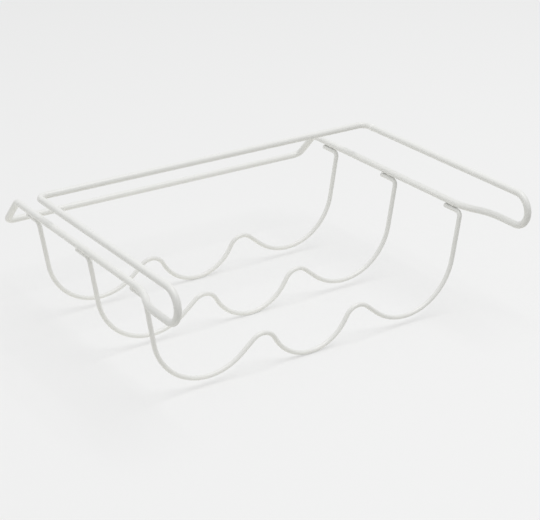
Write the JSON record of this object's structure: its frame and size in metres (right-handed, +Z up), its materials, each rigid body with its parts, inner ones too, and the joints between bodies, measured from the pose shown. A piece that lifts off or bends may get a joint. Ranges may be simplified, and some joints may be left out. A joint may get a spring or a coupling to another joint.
{
  "type": "hanging wine rack",
  "caption": "Coated wire wine rack that slides onto a shelf from the front and carries lying bottles in scalloped cradle wires under it.",
  "frame": {"origin": "centre of the bounding box in X and Y, at the height of the middle valleys' undersides, on which the rack stands", "axes": "+X to the right for someone who puts a bottle in, +Y to the back, away from the hairpins and into the shelf, +Z up"},
  "size_m": [0.3425, 0.3201, 0.1288],
  "materials": {
    "coated_wire": "off-white satin-gloss coating over steel wire",
    "coated_weld": "off-white coating over small weld beads"
  },
  "bodies": {
    "root": {"frame_wire": "coated_wire", "cradle_wire_front": "coated_wire", "cradle_wire_middle": "coated_wire", "cradle_wire_rear": "coated_wire", "frame_butt_weld": "coated_weld", "foot_weld_front_left_tip": "coated_weld", "foot_weld_front_left_heel": "coated_weld", "foot_weld_front_right_tip": "coated_weld", "foot_weld_front_right_heel": "coated_weld", "foot_weld_middle_left_tip": "coated_weld", "foot_weld_middle_left_heel": "coated_weld", "foot_weld_middle_right_tip": "coated_weld", "foot_weld_middle_right_heel": "coated_weld", "foot_weld_rear_left_tip": "coated_weld", "foot_weld_rear_left_heel": "coated_weld", "foot_weld_rear_right_tip": "coated_weld", "foot_weld_rear_right_heel": "coated_weld"}
  },
  "joints": []
}
